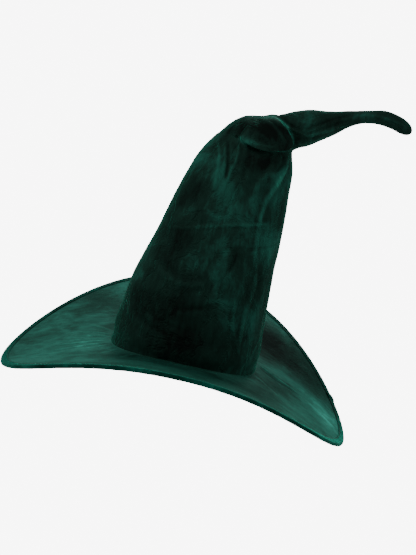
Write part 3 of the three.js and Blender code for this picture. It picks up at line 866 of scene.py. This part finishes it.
# %% Make the binding
BINDING_PROFILE = [
    # outwards and up from the wire, in millimetres
    (-7.4, 2.5), (-7.0, 3.1), (-5.0, 3.2), (-2.6, 3.1), (-0.6, 3.1), (1.2, 2.8), (2.6, 2.0),
    (3.2, 0.8), (3.2, -0.8), (2.6, -2.0), (1.2, -2.8), (-0.6, -3.1), (-2.6, -3.1), (-5.0, -3.2),
    (-7.0, -3.1), (-7.4, -2.5), (-4.0, -2.2), (0.6, -2.0), (1.8, 0.0), (0.6, 2.0), (-4.0, 2.2),
]
BINDING_AROUND = 720
LAP_ANGLE = math.pi - 0.37  # of the binding's lap, from the front
LAP_LENGTH = 0.045


def edge_frame(theta):
    """Points on the brim's edge, and the way outwards there."""
    edge = brim_place(np.ones(len(theta)), theta)
    inside = brim_place(np.full(len(theta), 0.93), theta)
    outwards = edge - inside
    return edge, outwards / np.linalg.norm(outwards, axis=1)[:, None]


def binding():
    """The strip round the brim's edge."""
    theta = np.arange(BINDING_AROUND) * 2 * math.pi / BINDING_AROUND
    edge, outwards = edge_frame(theta)
    edge = edge - outwards * 0.4
    lap = smooth(LAP_ANGLE - LAP_LENGTH, LAP_ANGLE - LAP_LENGTH + 0.009, theta)
    lap *= 1 - smooth(LAP_ANGLE, LAP_ANGLE + 0.009, theta)
    swell = 1 + 0.035 * np.sin(theta * 61) * np.sin(theta * 17 + 1)
    rings = []
    for out, up in BINDING_PROFILE:
        outer = lap * (out > 0)
        ring = edge + outwards * (out * (1 + 0.5 * outer) + 0.8 * outer)[:, None]
        ring[:, 2] += up * swell * (1 + 0.3 * lap)
        rings.append(in_metres(ring))
    bm = skin_of_rings(rings + [rings[0]])
    bmesh.ops.remove_doubles(bm, verts=bm.verts, dist=1e-6)
    made = object_of(bm, "brim_binding_strip", binding_velvet)
    points, _ = read_mesh(made)
    set_pile_and_shade(made, 0.45 + 0.3 * rough(points, 20, 9))
    return made


binding_strip = binding()
print("binding faces:", len(binding_strip.data.polygons))

# %% [markdown]
# Two rows of small machine stitches, 3.2 mm apart, hold the binding's turned-in edges. Each
# stitch is a short thin bar that sits in the pile and is turned along the edge.

# %% Stitch the binding
STITCH_STEP, STITCH_LENGTH, STITCH_THICK = 3.2, 2.1, 0.42
STITCH_IN, STITCH_UP = 6.4, 3.2  # from the wire


def stitches(side):
    """A row of stitches on the binding's upper (1) or lower (-1) face."""
    around = math.pi * (BRIM["length"] + BRIM["width"])
    count = int(around / STITCH_STEP)
    theta = np.arange(count) * 2 * math.pi / count
    edge, outwards = edge_frame(theta)
    ahead, _ = edge_frame(theta + 0.001)
    along = ahead - edge
    along /= np.linalg.norm(along, axis=1)[:, None]
    bm = bmesh.new()
    for at, out, forward in zip(edge, outwards, along):
        place = at - out * STITCH_IN
        place[2] += side * STITCH_UP
        x_axis = Vector(forward)
        z_axis = x_axis.cross(Vector(out)).normalized()
        y_axis = z_axis.cross(x_axis)
        size = Matrix.Diagonal((STITCH_LENGTH * MM, STITCH_THICK * MM, STITCH_THICK * MM, 1))
        turned = Matrix((x_axis, y_axis, z_axis)).transposed().to_4x4()
        bmesh.ops.create_cube(
            bm, size=1.0, matrix=Matrix.Translation(Vector(place) * MM) @ turned @ size)
    return bm


# Spun polyester thread is slightly shiny, with a twist that darkens it in bands.
thread = grainy_finish("polyester_thread_green", 1.2, {}, [(0.3, "#06231b"), (0.7, "#124536")],
                       {"Roughness": 0.5})
top_stitches = object_of(stitches(1), "binding_stitches_top", thread, smooth=False)
under_stitches = object_of(stitches(-1), "binding_stitches_under", thread, smooth=False)
print("stitches in a row:", len(top_stitches.data.polygons) // 6)

# %% [markdown]
# ## Inside the hat
# Anyone who picks the hat up looks into it. The lower half of the crown is stiffened with
# non-woven interlining, lined with satin and finished with a ribbon sweatband. Each is the
# crown's own sections again, a few millimetres further in, so that they nest.

# %% The satin lining and its closed top
LINING_IN, BAND_IN = 6.2, 7.4
LINING_TOP = 5.1


def inner_ring(u, inwards):
    """A ring of the crown, moved inwards by some millimetres."""
    ring = ring_of_section(u)
    centre = np.append(ring[:, :2].mean(axis=0), 0)
    flat = ring * [1, 1, 0] - centre
    length = np.linalg.norm(flat, axis=1)[:, None]
    return ring - flat / length * inwards


def lining():
    """A satin cone with a flat gathered top, hanging a little loose."""
    rings = [inner_ring(u, LINING_IN) for u in np.linspace(0.12, LINING_TOP, 66)]
    top = rings[-1]
    centre = top.mean(axis=0)
    rings += [centre + (top - centre) * share for share in np.linspace(0.97, 0.03, 26)]
    made = object_of(skin_of_rings([in_metres(r) for r in rings]), "crown_lining_cloth", satin)
    points, _ = read_mesh(made)
    up = points[:, 2] / MM
    centre_line = in_metres(centre[:2])
    angle = np.arctan2(points[:, 1] - centre_line[1], points[:, 0] - centre_line[0])
    radius = np.linalg.norm(points[:, :2] - centre_line, axis=1) / MM
    in_top = smooth(-1.5, 1.5, up - (top[:, 2].min() - 1.5)) * (1 - smooth(50, 72, radius))
    gathers = np.sin(angle * 23 + 2.5 * np.sin(angle * 5)) * smooth(2, 20, radius)
    slack = rough(points * [1, 1, 0.35], 34, 11) * smooth(30, 70, up) * (1 - in_top)
    inwards = np.stack([-np.cos(angle), -np.sin(angle), np.zeros(len(angle))], axis=1)
    points += inwards * (MM * (1.2 + 1.2 * slack) * smooth(40, 90, up) * (1 - in_top))[:, None]
    points[:, 2] += MM * in_top * (0.8 * gathers - 1.6)
    write_mesh(made, points)
    return made


def satin_material():
    """Black acetate satin: a smooth face whose long floats streak the highlight across."""
    made, tree = new_material("acetate_satin_black")
    place = add(tree, "ShaderNodeTexCoord").outputs["Object"]
    stretched = add(tree, "ShaderNodeMapping", {"Vector": place, "Scale": (1.0, 1.0, 12.0)})
    # Real floats are 0.2 mm apart: they are drawn 0.8 mm apart, so they show.
    floats = add(tree, "ShaderNodeTexNoise",
                 {"Vector": stretched.outputs["Vector"], "Scale": per_metre(8), "Detail": 3.0})
    colour = ramp(tree, floats.outputs["Fac"],
                  [(0.3, "#101312"), (0.7, "#1f2523")])
    bump = add(tree, "ShaderNodeBump",
               {"Strength": 0.12, "Distance": 0.0004, "Height": floats.outputs["Fac"]})
    shader = add(tree, "ShaderNodeBsdfPrincipled",
                 {"Base Color": colour.outputs["Color"], "Roughness": 0.32,
                  "Anisotropic": 0.5, "Normal": bump.outputs["Normal"], "Sheen Weight": 0.15,
                  "Sheen Roughness": 0.4})
    return finish_material(made, shader)


satin = satin_material()
lining_cloth = lining()
print("lining faces:", len(lining_cloth.data.polygons))

# %% [markdown]
# The sweatband is grosgrain, a ribbon with ribs across it about 0.8 mm apart. Its lower edge is
# sewn to the seam of the crown and brim, and its upper edge stands a little free.

# %% The sweatband and the label
RIB_MM = 1.2
BAND_BOTTOM, BAND_TOP = 0.08, 1.42
LABEL_WIDTH, LABEL_BOTTOM, LABEL_TOP = 22.0, 26.0, 57.0


def wrap_uv(piece, name, radius):
    """A UV map whose u runs round the piece in millimetres and whose v is its height."""
    layer = piece.data.uv_layers.new(name=name)
    for face in piece.data.polygons:
        corners = [piece.data.vertices[v].co for v in face.vertices]
        angles = [math.atan2(c.y, c.x) for c in corners]
        if max(angles) - min(angles) > math.pi:
            angles = [a + 2 * math.pi if a < 0 else a for a in angles]
        for i, corner, a in zip(face.loop_indices, corners, angles):
            layer.data[i].uv = (a * radius, corner.z / MM)


def grosgrain_material():
    """Grosgrain ribbon: matt polyester with close upright ribs."""
    made, tree = new_material("grosgrain_ribbon_black")
    place = add(tree, "ShaderNodeUVMap", uv_map="ribs").outputs["UV"]
    ribs = add(tree, "ShaderNodeTexWave",
               {"Vector": place, "Scale": 2 * math.pi / 20 / RIB_MM, "Distortion": 0.3,
                "Detail": 1.0}, wave_type="BANDS", bands_direction="X")
    colour = ramp(tree, ribs.outputs["Fac"],
                  [(0.1, "#0b0d0d"), (0.8, "#202625")])
    bump = add(tree, "ShaderNodeBump",
               {"Strength": 0.7, "Distance": 0.0004, "Height": ribs.outputs["Fac"]})
    shader = add(tree, "ShaderNodeBsdfPrincipled",
                 {"Base Color": colour.outputs["Color"], "Roughness": 0.8,
                  "Normal": bump.outputs["Normal"], "Sheen Weight": 0.2, "Sheen Roughness": 0.5})
    return finish_material(made, shader)


def sweatband():
    """The ribbon inside the crown's base, with a slightly wavy free edge."""
    rings = [inner_ring(u, BAND_IN + 0.4) for u in np.linspace(BAND_BOTTOM, BAND_TOP, 15)]
    made = object_of(skin_of_rings([in_metres(r) for r in rings]), "sweatband_ribbon", grosgrain)
    points, _ = read_mesh(made)
    angle = np.arctan2(points[:, 1], points[:, 0])
    free = smooth(8, 26, points[:, 2] / MM)
    ripple = MM * free * (0.5 + 0.5 * np.sin(angle * 14) * np.sin(angle * 5 + 2))
    points[:, 0] -= ripple * np.cos(angle)
    points[:, 1] -= ripple * np.sin(angle)
    write_mesh(made, points)
    wrap_uv(made, "ribs", sum(CROWN_BASE) / 2)
    thicken(made, 0.8 * MM)
    return made


grosgrain = grosgrain_material()
sweatband_ribbon = sweatband()
print("sweatband faces:", len(sweatband_ribbon.data.polygons))

# %% [markdown]
# A plain woven label is caught in the seam at the back. It is a strip of white tape folded once,
# so it is two layers with a soft bend at the bottom. Nothing is printed on it here.


# %% The label
def tape_material():
    """White polyester satin tape, woven with fine crossing threads."""
    made, tree = new_material("polyester_label_tape_white")
    place = add(tree, "ShaderNodeTexCoord").outputs["Object"]
    # Real threads are 0.15 mm apart: they are drawn 0.5 mm apart, so they show.
    warp = add(tree, "ShaderNodeTexWave",
               {"Vector": place, "Scale": 2 * math.pi / 20 * per_metre(0.5), "Distortion": 0.2},
               wave_type="BANDS", bands_direction="Y")
    weft = add(tree, "ShaderNodeTexWave",
               {"Vector": place, "Scale": 2 * math.pi / 20 * per_metre(0.5), "Distortion": 0.2},
               wave_type="BANDS", bands_direction="Z")
    weave = add(tree, "ShaderNodeMath", {0: warp.outputs["Fac"], 1: weft.outputs["Fac"]},
                operation="MULTIPLY")
    colour = ramp(tree, weave.outputs["Value"],
                  [(0.0, "#cfcdc6"), (0.8, "#efede8")])
    bump = add(tree, "ShaderNodeBump",
               {"Strength": 0.4, "Distance": 0.0002, "Height": weave.outputs["Value"]})
    shader = add(tree, "ShaderNodeBsdfPrincipled",
                 {"Base Color": colour.outputs["Color"], "Roughness": 0.5,
                  "Normal": bump.outputs["Normal"]})
    return finish_material(made, shader)


def label():
    """A folded tape: one edge drawn up, round a bend and down again."""
    wall_x = float(inner_ring(2.0, LINING_IN)[:, 0].max())
    profile = [(0.0, LABEL_TOP), (-0.7, LABEL_TOP - 9), (-1.4, LABEL_BOTTOM + 8),
               (-2.0, LABEL_BOTTOM + 2), (-2.8, LABEL_BOTTOM), (-3.6, LABEL_BOTTOM + 2),
               (-3.4, LABEL_BOTTOM + 9), (-2.2, LABEL_TOP - 10), (-0.9, LABEL_TOP - 0.5)]
    bm = bmesh.new()
    start = [bm.verts.new(in_metres((wall_x, y, LABEL_TOP)))
             for y in np.linspace(-LABEL_WIDTH / 2, LABEL_WIDTH / 2, 9)]
    edges = [bm.edges.new(pair) for pair in zip(start[:-1], start[1:])]
    at = (0.0, LABEL_TOP)
    for x, z in smooth_line(profile)[1:]:
        made = bmesh.ops.extrude_edge_only(bm, edges=edges)["geom"]
        verts = [g for g in made if isinstance(g, bmesh.types.BMVert)]
        bmesh.ops.translate(bm, verts=verts, vec=in_metres((x - at[0], 0, z - at[1])))
        edges = [g for g in made if isinstance(g, bmesh.types.BMEdge)
                 and g.verts[0] in verts and g.verts[1] in verts]
        at = (x, z)
    made = object_of(bm, "label_tape_strip", label_tape)
    thicken(made, 0.3 * MM)
    return made


label_tape = tape_material()
label_strip = label()
print("label faces:", len(label_strip.data.polygons))

# %% [markdown]
# ## The hidden parts
# The crown's stiffener is non-woven interlining, and the tip is stuffed with fibre fill. Both are
# made from the cone's own rows. The brim's stiffener, the wires and the cap are the packed
# model's own solids: they are the right shape already, and only need a finish.


# %% Materials and pieces that are hidden
def wire_material():
    """Drawn spring steel wire: bright, with the faint lengthways marks of the die."""
    made, tree = new_material("drawn_spring_steel_wire")
    place = add(tree, "ShaderNodeTexCoord").outputs["Object"]
    marks = add(tree, "ShaderNodeTexNoise",
                {"Vector": place, "Scale": per_metre(3), "Detail": 4.0, "Roughness": 0.6})
    tone = ramp(tree, marks.outputs["Fac"],
                [(0.3, "#8d8f90"), (0.7, "#b9bbbb")])
    dullness = add(tree, "ShaderNodeMapRange",
                   {"Value": marks.outputs["Fac"], "To Min": 0.25, "To Max": 0.42})
    shader = add(tree, "ShaderNodeBsdfPrincipled",
                 {"Base Color": tone.outputs["Color"], "Metallic": 1.0,
                  "Roughness": dullness.outputs["Result"]})
    return finish_material(made, shader)


# Non-woven interlining is white fibres pressed flat, with a fine mottle.
interlining = grainy_finish(
    "nonwoven_interlining_white", 1.5, {"Detail": 5.0, "Roughness": 0.75, "Distortion": 2.0},
    [(0.35, "#c9c7c0"), (0.7, "#e9e7e1")], {"Roughness": 0.9}, relief=(0.3, 0.0003))
# Polyester fibre fill is a soft white tangle.
fibre_fill = grainy_finish(
    "polyester_fibre_fill_white", 4, {"Detail": 6.0, "Roughness": 0.8, "Distortion": 3.0},
    [(0.3, "#d5d5d2"), (0.7, "#f4f4f2")], {"Roughness": 0.95, "Sheen Weight": 0.4},
    relief=(0.9, 0.002))
# Moulded polyethylene has a soft gloss with a faint orange-peel grain.
black_cap = grainy_finish(
    "moulded_polyethylene_black", 0.6, {"Detail": 2.0}, [(0.3, "#121212"), (0.7, "#1d1d1d")],
    {"Roughness": 0.45}, relief=(0.1, 0.0001))
steel_wire = wire_material()
stiffener = rows_of(cone, "crown_stiffener", interlining, row_of(STIFF_FROM), row_of(STIFF_TO),
                    inwards=CLOTH + 0.2)
thicken(stiffener, 0.8 * MM)
fold_stuffing = rows_of(cone, "fold_stuffing", fibre_fill, row_of(STUFFED_FROM), divide_row,
                        inwards=CLOTH + 1.2, filled=True)
tip_stuffing = rows_of(cone, "tip_stuffing_fill", fibre_fill, divide_row, row_of(STUFFED_TO),
                       inwards=CLOTH + 1.2, filled=True)
bpy.data.objects.remove(cone)
HIDDEN = {
    "brim_interlining": interlining,
    "brim_wire": steel_wire,
    "brim_wire_ferrule": steel_wire,
    "tip_wire_anchor": steel_wire,
    "crown_wire": steel_wire,
    "tip_wire": steel_wire,
    "tip_end_wire": steel_wire,
    "wire_end_cap": black_cap,
}
for name, material in HIDDEN.items():
    mesh = bpy.data.objects[name].data
    mesh.materials.clear()
    mesh.materials.append(material)
print("hidden parts with a finish:", len(HIDDEN))

# %% [markdown]
# ## How the pieces move
# The crown and brim are one body, and the brim's pieces and the crown's inside are attached to it.
# The cloth of the crown, fold and tip, and the stuffing, only have their placing baked into their
# meshes. The lap is in the crown's piece.


for piece in (crown_skin, fold_stuffing):
    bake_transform(piece)
for piece in (tip_skin, tip_stuffing):
    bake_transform(piece)
for piece in (stiffener, brim_top, brim_under, binding_strip, top_stitches, under_stitches,
              lining_cloth, sweatband_ribbon, label_strip):
    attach(piece, "crown_and_brim")

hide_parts("crown_velvet", "tip_velvet")
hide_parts("tip_end_velvet")
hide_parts("crown_interlining")
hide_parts("tip_stuffing")
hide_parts("tip_end_stuffing")
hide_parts("brim_top_velvet")
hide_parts("brim_under_velvet")
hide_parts("brim_binding")
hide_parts("crown_lining")
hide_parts("sweatband")
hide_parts("care_label")


def skin_area(piece):
    """The area of a piece's own faces, in square metres."""
    return sum(face.area for face in piece.data.polygons)


# Each sheet: its flat cut in metres, the cut's area, how it is held, and what it rests on.
SHEETS = [
    (crown_skin, (0.62, 0.48), 0.168, "stretched", [stiffener]),
    (tip_skin, (0.09, 0.11), 0.0056, "stretched", [tip_stuffing]),
    (stiffener, (0.60, 0.22), 0.118, "stretched", [crown_skin]),
    (brim_top, (0.53, 0.51), 0.158, "stretched", ["brim_interlining"]),
    (brim_under, (0.53, 0.51), 0.158, "stretched", ["brim_interlining"]),
    (lining_cloth, (0.60, 0.26), 0.115, "hung", [stiffener]),
    (sweatband_ribbon, (0.56, 0.036), 0.0201, "stretched", [lining_cloth]),
    (label_strip, (0.022, 0.066), 0.00145, "folded", [lining_cloth]),
]
for piece, flat, area, held, on in SHEETS:
    print(piece.name, "cut area:", area, "made area:", round(skin_area(piece), 4))
print("binding made area:", round(skin_area(binding_strip) / 2, 4))

# %% [markdown]
# ## Floor and light
# The hat is shown on plain white under large soft lights, with hardly a shadow. The floor is
# well below it, so no shadow falls near the hat. The main light is high on the left, which makes
# the pile shine on its left-hand slopes.

# %% Stage and lights
FLOOR_Z = -0.42
FLOOR_SIZE = 6.0
SEEN_WHITE, WORLD_LIGHT = 8.0, 0.26  # how bright the white looks, and how much it lights the hat


def floor():
    """A wide pale floor."""
    bm = bmesh.new()
    bmesh.ops.create_grid(bm, x_segments=1, y_segments=1, size=FLOOR_SIZE)
    bmesh.ops.translate(bm, verts=bm.verts, vec=(0, 0, FLOOR_Z))
    made, tree = new_material("matt_white_paper")
    place = add(tree, "ShaderNodeTexCoord").outputs["Object"]
    fibres = add(tree, "ShaderNodeTexNoise", {"Vector": place, "Scale": per_metre(20)})
    colour = ramp(tree, fibres.outputs["Fac"],
                  [(0.4, "#fafafa"), (0.6, "#ffffff")])
    paper = add(tree, "ShaderNodeBsdfDiffuse", {"Color": colour.outputs["Color"]})
    bright = add(tree, "ShaderNodeEmission", {"Color": linear("#ffffff"), "Strength": SEEN_WHITE})
    seen = add(tree, "ShaderNodeLightPath").outputs["Is Camera Ray"]
    finish_material(made, add(tree, "ShaderNodeMixShader", {0: seen, 1: paper.outputs[0],
                                                            2: bright.outputs[0]}))
    return object_of(bm, "floor", made)


def soft_light(name, at, size, power):
    """A square studio light that faces the hat."""
    data = bpy.data.lights.new(name, "AREA")
    data.size, data.energy = size, power
    lamp = bpy.data.objects.new(name, data)
    aim = Vector((0, 0, 0.12)) - Vector(at)
    lamp.matrix_world = Matrix.Translation(at) @ aim.to_track_quat("-Z", "Y").to_matrix().to_4x4()
    bpy.context.scene.collection.objects.link(lamp)
    return lamp


floor()
soft_light("left_softbox", (-1.6, -0.9, 2.0), 1.0, 70)
soft_light("right_softbox", (1.9, -0.8, 1.0), 0.8, 24)
soft_light("back_softbox", (0.2, 2.0, 1.5), 1.4, 34)
world = bpy.data.worlds.new("white_studio")
world.use_nodes = True
sky = world.node_tree
seen = add(sky, "ShaderNodeLightPath").outputs["Is Camera Ray"]
strength = add(sky, "ShaderNodeMapRange",
               {"Value": seen, "To Min": WORLD_LIGHT, "To Max": SEEN_WHITE})
sky.links.new(strength.outputs["Result"], sky.nodes["Background"].inputs["Strength"])
sky.nodes["Background"].inputs["Color"].default_value = linear("#ffffff")
bpy.context.scene.world = world
